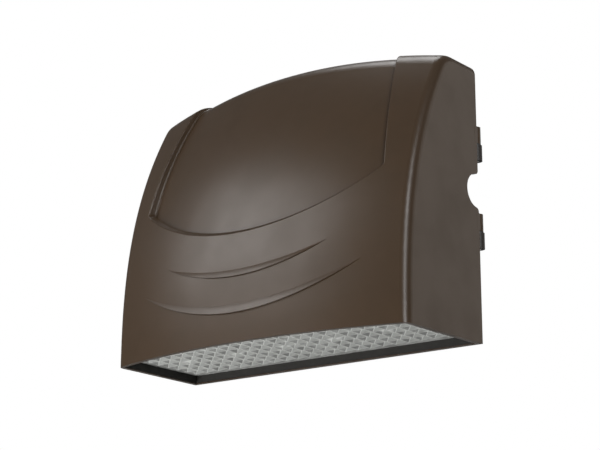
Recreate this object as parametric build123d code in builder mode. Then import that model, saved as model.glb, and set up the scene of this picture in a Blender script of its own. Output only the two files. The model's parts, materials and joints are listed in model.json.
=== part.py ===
"""Wall pack light: a hinged die-cast hood over a shallow back pan.

Frame: millimetres, +Z up, the wall is the plane Y = 0 and the light stands out
towards -Y. The origin is on the wall face, level with the two conduit entries.
Heights named *_HEIGHT are measured up from the hood's bottom edge.
"""
import os
from math import atan, degrees, sqrt

from build123d import *

os.makedirs("parts", exist_ok=True)

# ---------------------------------------------------------------- the hood
HOOD_WIDTH = 294.7          # across the rear rim
SIDE_HEIGHT = 230.0         # bottom edge to top edge at the sides
ARCH_RISE = 15.4            # the top's crown above the side edges
SIDE_DEPTH = 100.5          # rim to the sharp front corner, at the bottom
BOW_RISE = 23.5             # the front's crown ahead of its side edges
LEAN_BACK = 58.0            # how far the front has leaned back at the top, seen from the side
LEAN_POWER = 2.5            # it leans slowly at first, then faster towards the top
SIDE_DRAFT = 0.02           # how much each side closes in per millimetre of depth
WALL_GAP = 12.0             # the hood's rim stands this far off the wall
ENTRY_HEIGHT = 124.0        # centre of the conduit entries
WALL = 3.0                  # casting thickness
ROLL_RADIUS = 26.0          # top to front
SIDE_ROUND = 9.0            # sides to front and top

# recessed panel of the front
PANEL_FOOT_IN = 25.35       # the panel's lower corners, in from the hood's sides
PANEL_FOOT_Y = -97.3        # how far from the rim the lower corners lie
PANEL_DRAFT = 0.355         # how the panel's side walls close in with depth
PANEL_FOOT_HEIGHT = 89.5    # lowest point of the panel's arc
PANEL_ARC_RADIUS = 271.0    # of the arc wall, at the front surface
PANEL_ARC_DRAFT = 0.36
PANEL_DEPTH = 4.6           # recess at the middle of the front
PANEL_DROP = 1.2            # recess across the top
PANEL_BOW_RADIUS = 410.0    # plan radius of the panel, rounder than the front
PANEL_EDGE_ROUND = 1.0      # round on the panel's outer edge
PANEL_ROOT_ROUND = 2.0      # round between the panel's walls and its floor
PANEL_CORNER_ROUND = 5.0    # round between its side walls and its arc wall

# two raised crescents below the panel: height of the crease and of the lip in
# the middle, and the half width at which both meet
CRESCENTS = ((58.4, 53.0, 82.0, 0.00198), (30.2, 23.4, 112.0, 0.0019))
CRESCENT_STATIONS = 9
CRESCENT_SLOPE = 0.42       # steepness at the crease
CRESCENT_LIP_SLOPE = 0.08   # steepness at the lip
CRESCENT_RUN = 0.97         # share of its half width at which a crescent ends
CRESCENT_ROOT = 4.0         # how deep it sits in the casting
CRESCENT_BURY = (0.4, 1.5)  # its upper edge starts this far above the crease, at the tips and in the middle

# conduit notches in the side rims
NOTCH_RADIUS = 14.0
ENTRY_BACK = 2.0            # entry centre, in front of the rim
NOTCH_MOUTH_ROUND = 3.5

# ---------------------------------------------------------------- lens bay
BAY_WALL = 4.2              # wall around the lens recess
LENS_HEIGHT = 7.0           # visible face of the lens above the bottom edge
LENS_THICKNESS = 3.0
SEAL_WALL = 1.0
SEAL_FLANGE = 4.5
SEAL_FOOT_HEIGHT = 0.8
SEAL_FLANGE_THICKNESS = 1.0
LEDGE_WIDTH = 5.0           # ledge that the lens seats against, past the bay wall
LEDGE_THICKNESS = 2.5
FIT = 0.05                  # between pieces that slide into each other
PRISM_PITCH = 12.25
PRISM_DEPTH = 2.4
PRISM_MARGIN_SIDE = 12.0
PRISM_MARGIN_FRONT = 5.0
PRISM_MARGIN_REAR = 9.0

# ---------------------------------------------------------------- light engine
TRAY_HEIGHT = 40.0          # underside of the LED tray
TRAY_THICKNESS = 3.0
TRAY_GAP = 0.5              # tray edge to the casting
PAD_THICKNESS = 0.5
BOARD_THICKNESS = 1.6
BOARD_END = 18.0            # board past the middle of the last LED
BOARD_WIDTH = 36.0
LED_PITCH = 50.0
LED_COUNT = 5
BOARD_SCREW_PLACES = (0.5, 1.4)      # in LED pitches from the middle, between the LEDs
LED_SIZE = 13.5
LED_THICKNESS = 1.2
BOARD_CENTRE_Y = -62.0      # from the rim, the middle of the lens bay
REFLECTOR_SHEET = 0.8
REFLECTOR_END = 14.0        # reflector's top past the middle of the last LED
REFLECTOR_TOP_DEPTH = 48.0
REFLECTOR_WINDOW = 3.0      # window margin around each LED
TRAY_SCREW_DEPTHS = (-12.0, -80.0)   # side screws, from the rim
TRAY_SCREW_X = 60.0         # front screws, from the middle
TRAY_BOSS_RADIUS = 5.2
SCREW_HEAD_ROOM = 0.6       # screw head to the side of the casting
WIRE_HOLE_HALF = 7.5        # hole in board and pad around the tray's grommet
LED_TERMINAL = (9.0, 8.0, 3.2)

# ---------------------------------------------------------------- back pan
PAN_SIDE_GAP = 25.35        # the hood's side to the pan's
PAN_FOOT_HEIGHT = 48.0
PAN_TOP_HEIGHT = 211.0
PAN_DEPTH = 30.0            # rim of the pan, in front of the hood's rim plane
PAN_WALL = 3.0
PAN_CORNER = 10.0
FOAM_THICKNESS = 2.0
FOAM_WIDTH = 9.0
DOOR_SEAL_WIDTH = 5.0
DOOR_SEAL_THICKNESS = 2.0
PAN_LIP = 5.0               # width of the pan's rim under the door seal
HUB_LENGTH = 7.0
HUB_RADIUS = 13.4
CONDUIT_RADIUS = 10.65      # half-inch conduit thread
PLUG_THICKNESS = 6.0
CORNER_HOLE_RADIUS = 3.25
CORNER_HOLE_IN = 20.0       # wall screw holes, in from the pan's sides
CORNER_HOLE_RISE = 124.0
BOX_HOLE_RADIUS = 2.5
BOX_HOLE_SPAN = 88.9        # outlet box screws
WIRE_HOLE_RADIUS = 11.0
HUB_RUN = 12.0              # groove in the pan's floor behind each hub
HUB_RUN_ROOM = 0.3
PLUG_SOCKET = 5.0
GROUND_SPOT = (-62.0, 84.0) # ground screw: X and height
GROUND_BOSS = 7.0
PLUG_SOCKET_DEPTH = 3.0

# ---------------------------------------------------------------- hinge
HINGE_IN = 2.75             # hinge axis, in from the hood's side
HINGE_Y = 3.9               # behind the rim
PAN_KNUCKLE_RADIUS = 4.3
HOOD_KNUCKLE_RADIUS = 3.45
KNUCKLE_LENGTH = 13.2
HOOD_KNUCKLE_LENGTH = 14.3
HINGE_HEIGHTS = (77.4, 150.6)
PIN_RADIUS = 1.5
PIN_FIT = 0.06
PIN_SHORT = 2.0             # pin ends below the top of the hood's knuckle
HINGE_WASHER = 1.0
HINGE_RELIEF = 0.5          # room around the pan's knuckle in the hood's rim
ARM_THICKNESS = 6.0

# ---------------------------------------------------------------- closing screws
CLOSER_FROM_FOOT = 20.0     # from the pan's lower and upper edges
CLOSER_FROM_TOP = 25.0
CLOSER_Y = -16.0            # from the rim
CLOSER_RADIUS = 2.5
CLOSER_HEAD_RADIUS = 4.75
CLOSER_HEAD = 3.4
CLOSER_LENGTH = 13.0
LUG_GAP = 1.5               # hood's side wall to the keeper lug
LUG_THICKNESS = 3.0
LUG_FRONT = 9.0             # lug reaches this far ahead of the screw
LUG_REAR = 8.0
LUG_HALF = 10.0
NUT_SIZE = 9.0
NUT_THICKNESS = 4.0
CLOSER_WASHER = 1.0
NUT_GAP = 0.3               # nut to the lug it pulls on
CLOSER_SEAT_DEPTH = 0.5     # flat seat let into the drafted side
CLOSER_SEAT_ROOM = 1.0
CLOSER_ROOM = 0.3           # screw shank to its hole in the side

# ---------------------------------------------------------------- gear plate
GEAR_PLATE = 2.0
GEAR_OVERHANG = 3.0         # past the pan's sides
GEAR_OVERHANG_TALL = 1.5    # past the pan's lower and upper edges
GEAR_BOSS_RADIUS = 4.5
GEAR_BOSS_IN = 12.0         # in from the pan's edges
SCREW_RADIUS = 2.0          # M4
SCREW_HEAD_RADIUS = 3.8
SCREW_HEAD = 2.4
SCREW_DEPTH = 9.0
CROSS_REACH = 0.9           # cross recess, in head radii
CROSS_WIDTH = 0.28
DRIVER_LENGTH = 130.0
DRIVER_WIDTH = 43.0
DRIVER_THICKNESS = 28.0
DRIVER_EAR = 9.0
DRIVER_EAR_THICKNESS = 2.0
DRIVER_FOOT_HEIGHT = 96.0
CASE_CORNER = 2.5           # upright corners of the driver and the surge protector
CASE_ROUND = 1.5
SURGE_SIZE = (38.0, 26.0, 28.0)
SURGE_CENTRE = (86.0, 166.0)
LEAD_RADIUS = 1.2
LEAD_PITCH = 6.0
LEAD_DROP = 25.0            # from the driver's end to the supply leads' way through the plate
LEAD_BEND = 7.0
GROMMET_RADIUS = 10.0
GROMMET_BORE = 8.2
GROMMET_LIP = 1.8           # flange past the hole, and its thickness
GROMMET_LIP_THICKNESS = 1.5
SPLICE_SIZE = (13.0, 17.0, 5.2)
SPLICE_REACH = 8.0          # from the gear plate to the splices
LED_LEAD_RADIUS = 0.9
LED_LEAD_PLACE = 1.68       # in LED pitches from the middle, between two LEDs
LED_LEAD_PITCH = 3.2
LED_LEAD_HEIGHTS = (101.0, 104.5)   # where they leave the driver
LED_LEAD_BEND = 6.0
LED_TAIL_BEND = 3.0
LED_GROMMET_RADIUS = 5.0
LED_GROMMET_BORE = 3.2

# ---------------------------------------------------------------- derived places
HALF = HOOD_WIDTH / 2
RIM_Y = -WALL_GAP
BASE_Z = -ENTRY_HEIGHT
BOW_RADIUS = (HALF**2 + BOW_RISE**2) / (2 * BOW_RISE)
FRONT_Y = RIM_Y - SIDE_DEPTH - BOW_RISE
ENTRY_Y = RIM_Y - ENTRY_BACK
REACH = HALF + 12.0         # construction forms run past the sides
PANEL_FOOT_HALF = HALF - PANEL_FOOT_IN
PAN_HALF = HALF - PAN_SIDE_GAP
HINGE_X = HALF - HINGE_IN
CORNER_HOLE_SPAN = 2 * (PAN_HALF - CORNER_HOLE_IN)
GEAR_HALF = PAN_HALF + GEAR_OVERHANG
GEAR_FOOT_HEIGHT = PAN_FOOT_HEIGHT - GEAR_OVERHANG_TALL
GEAR_TOP_HEIGHT = PAN_TOP_HEIGHT + GEAR_OVERHANG_TALL
GEAR_BOSS_HALF = PAN_HALF - GEAR_BOSS_IN
GEAR_BOSS_HEIGHTS = (
    PAN_FOOT_HEIGHT + GEAR_BOSS_IN,
    (PAN_FOOT_HEIGHT + PAN_TOP_HEIGHT) / 2,
    PAN_TOP_HEIGHT - GEAR_BOSS_IN,
)
CLOSER_HEIGHTS = (PAN_FOOT_HEIGHT + CLOSER_FROM_FOOT, PAN_TOP_HEIGHT - CLOSER_FROM_TOP)
LAST_LED = (LED_COUNT - 1) / 2 * LED_PITCH
BOARD_LENGTH = 2 * (LAST_LED + BOARD_END)
REFLECTOR_TOP_HALF = LAST_LED + REFLECTOR_END
LED_LEAD_X = LED_LEAD_PLACE * LED_PITCH
LEAD_DROP_X = -DRIVER_LENGTH / 2 - LEAD_DROP
FAR = 400.0
FORM_SECTIONS = 6
FORM_TOP = SIDE_HEIGHT + ARCH_RISE + 20.0
PANEL_OVERRUN = 10.0        # the panel's cutting form runs past the rim
PANEL_AHEAD = 55.0          # and past the front
PAN_RIM_Y = RIM_Y - PAN_DEPTH
PAN_FLOOR_Y = -FOAM_THICKNESS
GEAR_Y = PAN_RIM_Y - DOOR_SEAL_THICKNESS
SEAL_TOP_HEIGHT = LENS_HEIGHT + LENS_THICKNESS + SEAL_FLANGE_THICKNESS
LEDGE_TOP_HEIGHT = SEAL_TOP_HEIGHT + LEDGE_THICKNESS
TRAY_TOP_HEIGHT = TRAY_HEIGHT + TRAY_THICKNESS
BOARD_HEIGHT = TRAY_HEIGHT - PAD_THICKNESS - BOARD_THICKNESS
BOARD_Y = RIM_Y + BOARD_CENTRE_Y


def level(height):
    """Z of a height above the hood's bottom edge."""
    return BASE_Z + height


def lean(height):
    """How far the front has leaned back at a height."""
    return LEAN_BACK * (height / SIDE_HEIGHT) ** LEAN_POWER


def bow(x, radius=BOW_RADIUS):
    """How far the front has curved back at a distance from its middle."""
    return radius - sqrt(radius**2 - x**2)


def front_y(x, height):
    """Y of the hood's front surface."""
    return FRONT_Y + lean(height) + bow(x)


def half_width(y):
    """Half the hood's width at a depth: the sides close in towards the front."""
    return HALF - SIDE_DRAFT * (RIM_Y - y)


def plan_outline(inset, height, rear):
    """Face of the hood's plan at a height, drawn in by inset, its back edge at Y = rear."""
    middle = front_y(0, height) + inset
    radius = BOW_RADIUS - inset
    corner_y = front_y(HALF, height) + inset
    side = half_width(corner_y) - inset
    with BuildLine() as outline:
        front = ThreePointArc(
            (-side, middle + bow(side, radius)), (0, middle), (side, middle + bow(side, radius))
        )
        rear_side = half_width(rear) - inset
        Polyline(front @ 1, (rear_side, rear), (-rear_side, rear), front @ 0)
    make_face(outline.edges())


def hood_form(side, top, face, low, high, rear=RIM_Y, radius=BOW_RADIUS, roll=0.0, corner=0.0):
    """Solid with the hood's outer shape, drawn in at its sides, top and front."""
    with BuildPart() as form:
        for step in range(FORM_SECTIONS):
            height = low + (high - low) * step / (FORM_SECTIONS - 1)
            middle = FRONT_Y + lean(height) + face
            with BuildSketch(Plane.XY.offset(level(height))):
                with BuildLine():
                    edge = middle + bow(REACH, radius)
                    front = ThreePointArc((-REACH, edge), (0, middle), (REACH, edge))
                    Polyline(front @ 1, (REACH, rear), (-REACH, rear), front @ 0)
                make_face()
        loft()
        with BuildSketch(Plane.XY.offset(level(0))):
            wide = half_width(rear) - side
            narrow = wide - SIDE_DRAFT * FAR
            with BuildLine():
                Polyline(
                    (-wide, rear), (wide, rear), (narrow, rear - FAR), (-narrow, rear - FAR), close=True
                )
            make_face()
        extrude(amount=FAR, mode=Mode.INTERSECT)
        with BuildSketch(Plane.XZ):
            eaves = level(SIDE_HEIGHT - top)
            with BuildLine():
                arch = ThreePointArc((-HALF, eaves), (0, eaves + ARCH_RISE), (HALF, eaves))
                Polyline(arch @ 1, (HALF, level(0)), (-HALF, level(0)), arch @ 0)
            make_face()
        extrude(amount=FAR, both=True, mode=Mode.INTERSECT)
        if roll:
            ridge = [
                e
                for e in form.edges().filter_by_position(Axis.X, -1, 1)
                if e.center().Z > level(SIDE_HEIGHT / 2) and e.center().Y < rear - 1
            ]
            fillet(ridge, roll)
        if corner:
            side_edges = [
                e
                for e in form.edges()
                if abs(e.center().X) > HALF - corner - side
                and e.center().Y < rear - 1
                and e.center().Z > level(low) + 1
            ]
            fillet(side_edges, corner)
    return form.part


def panel_form(grow, face, top):
    """Solid that fills the recessed panel, its walls moved out by grow."""
    inner = hood_form(
        0, top, face, 0, FORM_TOP, radius=PANEL_BOW_RADIUS, roll=ROLL_RADIUS - top, rear=RIM_Y + PANEL_OVERRUN
    )
    foot_y = RIM_Y + PANEL_FOOT_Y
    foot_half = PANEL_FOOT_HALF + grow
    arc_y = front_y(0, PANEL_FOOT_HEIGHT)
    ahead_y = foot_y - PANEL_AHEAD
    behind_y = RIM_Y + PANEL_OVERRUN / 2
    start = arc_y - ahead_y
    arc_z = level(PANEL_FOOT_HEIGHT + PANEL_ARC_RADIUS)
    with BuildPart() as panel:
        with BuildSketch(Plane((0, arc_y - start, arc_z), (1, 0, 0), (0, -1, 0))):
            Circle(PANEL_ARC_RADIUS + grow + PANEL_ARC_DRAFT * start)
        extrude(amount=ahead_y - RIM_Y - PANEL_OVERRUN, taper=degrees(atan(PANEL_ARC_DRAFT)))
        with BuildSketch(Plane.XY.offset(level(PANEL_FOOT_HEIGHT / 2))):
            with BuildLine():
                ahead = foot_half + PANEL_DRAFT * (foot_y - ahead_y)
                behind = foot_half - PANEL_DRAFT * (behind_y - foot_y)
                Polyline(
                    (-ahead, ahead_y), (ahead, ahead_y), (behind, behind_y), (-behind, behind_y), close=True
                )
            make_face()
        extrude(amount=FAR, mode=Mode.INTERSECT)
        add(inner, mode=Mode.SUBTRACT)
    return panel.part


def crescent(crease, lip, tip, climb):
    """Raised crescent: it swells out of the front below a crease and ends in a lip."""
    lip_climb = climb + (crease - lip) / tip**2
    with BuildPart() as ridge:
        for step in range(CRESCENT_STATIONS):
            x = tip * CRESCENT_RUN * (2 * step / (CRESCENT_STATIONS - 1) - 1)
            high = crease + climb * x**2
            low = lip + lip_climb * x**2
            drop = high - low
            ease = (CRESCENT_SLOPE - CRESCENT_LIP_SLOPE) / (2 * (crease - lip))

            def proud(down):
                return CRESCENT_SLOPE * down - ease * down**2

            start = -min(CRESCENT_BURY[1], CRESCENT_BURY[0] + drop / 4)
            with BuildSketch(Plane.YZ.offset(x)):
                with BuildLine():
                    middle = (start + drop) / 2
                    points = [
                        (front_y(x, high - d) - proud(d), level(high - d))
                        for d in (start, middle, drop)
                    ]
                    curve = ThreePointArc(*points)
                    back = points[2][0] + CRESCENT_ROOT
                    Polyline(
                        curve @ 1, (back, points[2][1]), (back, points[0][1]), curve @ 0
                    )
                make_face()
        loft()
    return ridge.part


def save(part, name):
    """Label a finished piece and write it."""
    part.label = name
    export_step(part, f"parts/{name}.step")


def wall_plane(y):
    """Plane facing the room at a depth: its local x is X and its local y is Z."""
    return Plane((0, y, 0), (1, 0, 0), (0, -1, 0))


# ---------------------------------------------------------------- shared places
bay_rear = RIM_Y - BAY_WALL
gear_boss_spots = [
    (side * GEAR_BOSS_HALF, level(height)) for side in (-1, 1) for height in GEAR_BOSS_HEIGHTS
]
boss_in_wall = WALL + SCREW_HEAD_RADIUS + SCREW_HEAD_ROOM
tray_screw_spots = [
    (side * (half_width(RIM_Y + y) - boss_in_wall), RIM_Y + y)
    for side in (-1, 1)
    for y in TRAY_SCREW_DEPTHS
]
tray_screw_spots += [
    (side * TRAY_SCREW_X, front_y(TRAY_SCREW_X, TRAY_TOP_HEIGHT + SCREW_HEAD) + boss_in_wall)
    for side in (-1, 1)
]
knuckle_levels = [level(height) for height in HINGE_HEIGHTS]
hinge_axis = (HINGE_X, RIM_Y + HINGE_Y)
hood_knuckle_start = KNUCKLE_LENGTH + HINGE_WASHER + 2 * FIT
closer_y = RIM_Y + CLOSER_Y
driver_face = GEAR_Y - GEAR_PLATE
closer_spots = [(closer_y, level(height)) for height in CLOSER_HEIGHTS]
closer_seat = -half_width(closer_y) + CLOSER_SEAT_DEPTH
lug_outer = -half_width(RIM_Y) + WALL + LUG_GAP
lug_inner = lug_outer + LUG_THICKNESS
lead_levels = [level(DRIVER_FOOT_HEIGHT + DRIVER_WIDTH / 2 + k * LEAD_PITCH) for k in (-1, 0, 1)]
driver_y = driver_face - DRIVER_THICKNESS / 2
led_lead_spot = (LED_LEAD_X, driver_y)
terminal_y = driver_y - WIRE_HOLE_HALF
led_spots = [((k - (LED_COUNT - 1) / 2) * LED_PITCH, BOARD_Y) for k in range(LED_COUNT)]
board_screw_spots = [
    (side * share * LED_PITCH, BOARD_Y) for share in BOARD_SCREW_PLACES for side in (-1, 1)
]
driver_screw_spots = [
    (side * (DRIVER_LENGTH + DRIVER_EAR) / 2, level(DRIVER_FOOT_HEIGHT + DRIVER_WIDTH / 2) + dz)
    for side in (-1, 1)
    for dz in (-DRIVER_WIDTH / 3, DRIVER_WIDTH / 3)
]

# ---------------------------------------------------------------- hood
outer_form = hood_form(0, 0, 0, 0, FORM_TOP, roll=ROLL_RADIUS, corner=SIDE_ROUND)
panel_core = panel_form(WALL, PANEL_DEPTH + WALL, PANEL_DROP + WALL)
cavity_form = hood_form(WALL, WALL, WALL, TRAY_HEIGHT, FORM_TOP, roll=ROLL_RADIUS - WALL)
bay_form = hood_form(WALL, 0, WALL, LEDGE_TOP_HEIGHT, TRAY_HEIGHT, rear=RIM_Y - WALL)

with BuildPart() as panel_recess:
    add(panel_form(0, PANEL_DEPTH, PANEL_DROP))
    fillet(panel_recess.edges().filter_by(GeomType.HYPERBOLA), PANEL_CORNER_ROUND)
    roots = [
        e
        for e in panel_recess.edges()
        if not e.is_interior
        and abs(e.center().X) < PANEL_FOOT_HALF
        and FRONT_Y < e.center().Y < RIM_Y
        and e.center().Z < level(SIDE_HEIGHT + ARCH_RISE)
    ]
    fillet(roots, PANEL_ROOT_ROUND)

with BuildPart() as cavity:
    add(cavity_form)
    add(panel_core, mode=Mode.SUBTRACT)
    with BuildSketch(wall_plane(driver_face)):
        with Locations(*gear_boss_spots):
            Circle(GEAR_BOSS_RADIUS)
    extrude(amount=FAR, mode=Mode.SUBTRACT)

with BuildPart() as bay:
    add(bay_form)
    with BuildSketch(Plane.XY.offset(level(LEDGE_TOP_HEIGHT))):
        with Locations(*tray_screw_spots):
            Circle(TRAY_BOSS_RADIUS)
    extrude(amount=FAR, mode=Mode.SUBTRACT)

with BuildPart() as front_housing:
    add(outer_form)
    add(panel_recess.part, mode=Mode.SUBTRACT)
    lips = [
        e
        for e in front_housing.edges()
        if not e.is_interior
        and abs(e.center().X) < PANEL_FOOT_HALF
        and e.center().Y < RIM_Y - 1
        and e.center().Z > level(PANEL_FOOT_HEIGHT) - PANEL_EDGE_ROUND
    ]
    fillet(lips, PANEL_EDGE_ROUND)
    for row in CRESCENTS:
        add(crescent(*row))
    add(cavity.part, mode=Mode.SUBTRACT)
    add(bay.part, mode=Mode.SUBTRACT)
    # lens recess, and the opening through the ledge above the lens
    with BuildSketch(Plane.XY.offset(level(0))):
        plan_outline(BAY_WALL, 0, bay_rear)
    extrude(amount=SEAL_TOP_HEIGHT, mode=Mode.SUBTRACT)
    with BuildSketch(Plane.XY.offset(level(SEAL_TOP_HEIGHT))):
        plan_outline(BAY_WALL + LEDGE_WIDTH, 0, bay_rear - LEDGE_WIDTH)
    extrude(amount=LEDGE_THICKNESS, mode=Mode.SUBTRACT)
    # conduit notches
    with BuildSketch(Plane.YZ) as notch:
        with Locations((ENTRY_Y, 0)):
            Circle(NOTCH_RADIUS)
        with Locations((RIM_Y + NOTCH_RADIUS, 0)):
            Rectangle(2 * NOTCH_RADIUS, 4 * NOTCH_RADIUS)
        mouths = [
            corner
            for corner in notch.vertices()
            if abs(corner.X - RIM_Y) < FIT and abs(corner.Y) < NOTCH_RADIUS
        ]
        fillet(mouths, NOTCH_MOUTH_ROUND)
    extrude(amount=FAR, both=True, mode=Mode.SUBTRACT)
    # hinge knuckles on the right rim
    for z in knuckle_levels:
        with BuildSketch(Plane.XY.offset(z + hood_knuckle_start)):
            with Locations(hinge_axis):
                Circle(HOOD_KNUCKLE_RADIUS)
            with BuildLine():
                near = HINGE_X - HOOD_KNUCKLE_RADIUS
                far = half_width(RIM_Y)
                Polyline(
                    (near, RIM_Y - WALL), (far, RIM_Y - WALL), (far, hinge_axis[1]), (near, hinge_axis[1]),
                    close=True,
                )
            make_face()
        extrude(amount=HOOD_KNUCKLE_LENGTH)
        with BuildSketch(Plane.XY.offset(z - HINGE_RELIEF)):
            with Locations(hinge_axis):
                Circle(PAN_KNUCKLE_RADIUS + HINGE_RELIEF)
        extrude(amount=hood_knuckle_start + HINGE_RELIEF, mode=Mode.SUBTRACT)
        with BuildSketch(Plane.XY.offset(z)):
            with Locations(hinge_axis):
                Circle(PIN_RADIUS + PIN_FIT)
        extrude(amount=hood_knuckle_start + HOOD_KNUCKLE_LENGTH, mode=Mode.SUBTRACT)
    # closing screw holes in the left side, each with a flat seat
    with BuildSketch(Plane.YZ.offset(closer_seat)):
        with Locations(*closer_spots):
            Circle(CLOSER_HEAD_RADIUS + CLOSER_SEAT_ROOM)
    extrude(amount=-2 * WALL, mode=Mode.SUBTRACT)
    with BuildSketch(Plane.YZ.offset(closer_seat)):
        with Locations(*closer_spots):
            Circle(CLOSER_RADIUS + CLOSER_ROOM)
    extrude(amount=2 * WALL, mode=Mode.SUBTRACT)
    # screw holes in the bosses
    with BuildSketch(wall_plane(driver_face)):
        with Locations(*gear_boss_spots):
            Circle(SCREW_RADIUS)
    extrude(amount=SCREW_DEPTH, mode=Mode.SUBTRACT)
    with BuildSketch(Plane.XY.offset(level(TRAY_HEIGHT))):
        with Locations(*tray_screw_spots):
            Circle(SCREW_RADIUS)
    extrude(amount=-SCREW_DEPTH, mode=Mode.SUBTRACT)
save(front_housing.part, "front_housing")

# ---------------------------------------------------------------- lens and its seal
with BuildPart() as lens_seal:
    with BuildSketch(Plane.XY.offset(level(SEAL_FOOT_HEIGHT))):
        plan_outline(BAY_WALL, 0, bay_rear)
    extrude(amount=SEAL_TOP_HEIGHT - SEAL_FOOT_HEIGHT)
    with BuildSketch(Plane.XY.offset(level(SEAL_FOOT_HEIGHT))):
        plan_outline(BAY_WALL + SEAL_WALL, 0, bay_rear - SEAL_WALL)
    extrude(amount=LENS_HEIGHT + LENS_THICKNESS - SEAL_FOOT_HEIGHT, mode=Mode.SUBTRACT)
    with BuildSketch(Plane.XY.offset(level(SEAL_FOOT_HEIGHT))):
        plan_outline(BAY_WALL + SEAL_FLANGE, 0, bay_rear - SEAL_FLANGE)
    extrude(amount=SEAL_TOP_HEIGHT, mode=Mode.SUBTRACT)
save(lens_seal.part, "lens_seal")

with BuildPart() as lens:
    edge = BAY_WALL + SEAL_WALL + FIT
    lens_rear = bay_rear - SEAL_WALL - FIT
    with BuildSketch(Plane.XY.offset(level(LENS_HEIGHT))):
        plan_outline(edge, 0, lens_rear)
    extrude(amount=LENS_THICKNESS)
    # field of pyramids on the underside
    with BuildSketch(Plane.XY.offset(level(LENS_HEIGHT))):
        plan_outline(edge + PRISM_MARGIN_FRONT, 0, lens_rear - PRISM_MARGIN_REAR)
        with Locations((0, RIM_Y)):
            Rectangle(HOOD_WIDTH - 2 * (edge + PRISM_MARGIN_SIDE), FAR, mode=Mode.INTERSECT)
    extrude(amount=-PRISM_DEPTH)
    groove = [(-PRISM_PITCH / 2, -PRISM_DEPTH), (PRISM_PITCH / 2, -PRISM_DEPTH), (0, 0)]
    across = int(HOOD_WIDTH / PRISM_PITCH / 2)
    with BuildSketch(Plane.XZ.offset(-RIM_Y)):
        with Locations(*[(k * PRISM_PITCH, level(LENS_HEIGHT)) for k in range(-across, across + 1)]):
            Polygon(*groove, align=None)
    extrude(amount=SIDE_DEPTH + BOW_RISE, mode=Mode.SUBTRACT)
    rows = int((SIDE_DEPTH + BOW_RISE) / PRISM_PITCH) + 1
    with BuildSketch(Plane.YZ):
        with Locations(
            *[(lens_rear - PRISM_MARGIN_REAR - k * PRISM_PITCH, level(LENS_HEIGHT)) for k in range(rows)]
        ):
            Polygon(*groove, align=None)
    extrude(amount=HALF, both=True, mode=Mode.SUBTRACT)
save(lens.part, "lens")

# ---------------------------------------------------------------- light engine
tray_edge = WALL + TRAY_GAP
with BuildPart() as led_tray:
    with BuildSketch(Plane.XY.offset(level(TRAY_HEIGHT))):
        plan_outline(tray_edge, TRAY_TOP_HEIGHT, RIM_Y - TRAY_GAP)
    extrude(amount=TRAY_THICKNESS)
    with BuildSketch(Plane.XY.offset(level(TRAY_HEIGHT))):
        with Locations(*tray_screw_spots, *board_screw_spots):
            Circle(SCREW_RADIUS)
        with Locations(led_lead_spot):
            Circle(LED_GROMMET_RADIUS)
    extrude(amount=TRAY_THICKNESS, mode=Mode.SUBTRACT)
save(led_tray.part, "led_tray")

with BuildPart() as thermal_pad:
    with BuildSketch(Plane.XY.offset(level(BOARD_HEIGHT + BOARD_THICKNESS))):
        with Locations((0, BOARD_Y)):
            Rectangle(BOARD_LENGTH, BOARD_WIDTH)
        with Locations(*board_screw_spots):
            Circle(SCREW_RADIUS + FIT, mode=Mode.SUBTRACT)
        with Locations(led_lead_spot):
            Circle(WIRE_HOLE_HALF, mode=Mode.SUBTRACT)
    extrude(amount=PAD_THICKNESS)
save(thermal_pad.part, "thermal_pad")

with BuildPart() as led_board:
    with BuildSketch(Plane.XY.offset(level(BOARD_HEIGHT))):
        with Locations((0, BOARD_Y)):
            RectangleRounded(BOARD_LENGTH, BOARD_WIDTH, 2)
        with Locations(*board_screw_spots):
            Circle(SCREW_RADIUS + FIT, mode=Mode.SUBTRACT)
        with Locations(led_lead_spot):
            Circle(WIRE_HOLE_HALF, mode=Mode.SUBTRACT)
    extrude(amount=BOARD_THICKNESS)
save(led_board.part, "led_board")

with BuildPart() as leds:
    with BuildSketch(Plane.XY.offset(level(BOARD_HEIGHT))):
        with Locations(*led_spots):
            Rectangle(LED_SIZE, LED_SIZE)
    extrude(amount=-LED_THICKNESS)
save(leds.part, "leds")

with BuildPart() as led_terminal:
    with BuildSketch(Plane.XY.offset(level(BOARD_HEIGHT))):
        with Locations((LED_LEAD_X, terminal_y - LED_TERMINAL[1] / 2)):
            Rectangle(LED_TERMINAL[0], LED_TERMINAL[1])
    extrude(amount=-LED_TERMINAL[2])
save(led_terminal.part, "led_terminal")


def screws(plane, spots, length, name, head_radius=SCREW_HEAD_RADIUS, head=SCREW_HEAD, shank=SCREW_RADIUS):
    """Pan-head screws standing on a plane, their shanks running the other way."""
    with BuildPart() as group:
        with BuildSketch(plane):
            with Locations(*spots):
                Circle(head_radius)
        extrude(amount=head)
        top = group.faces().group_by(Axis(plane.origin, plane.z_dir))[-1]
        fillet(top.edges(), head / 3)
        with BuildSketch(plane):
            with Locations(*spots):
                Circle(shank)
        extrude(amount=-length)
        # cross recess
        with BuildSketch(plane.offset(head)):
            with Locations(*spots):
                Rectangle(head_radius * CROSS_REACH, head_radius * CROSS_WIDTH)
                Rectangle(head_radius * CROSS_WIDTH, head_radius * CROSS_REACH)
        extrude(amount=-head / 2, mode=Mode.SUBTRACT)
    save(group.part, name)


screws(
    Plane.XY.offset(level(TRAY_TOP_HEIGHT)), tray_screw_spots, TRAY_THICKNESS + SCREW_DEPTH - 1, "tray_screws"
)
screws(
    Plane((0, 0, level(BOARD_HEIGHT)), (1, 0, 0), (0, 0, -1)),
    [(x, -y) for x, y in board_screw_spots],
    BOARD_THICKNESS + PAD_THICKNESS + TRAY_THICKNESS,
    "board_screws",
)

# ---------------------------------------------------------------- reflector
reflector_top = BOARD_HEIGHT - REFLECTOR_SHEET


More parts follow.
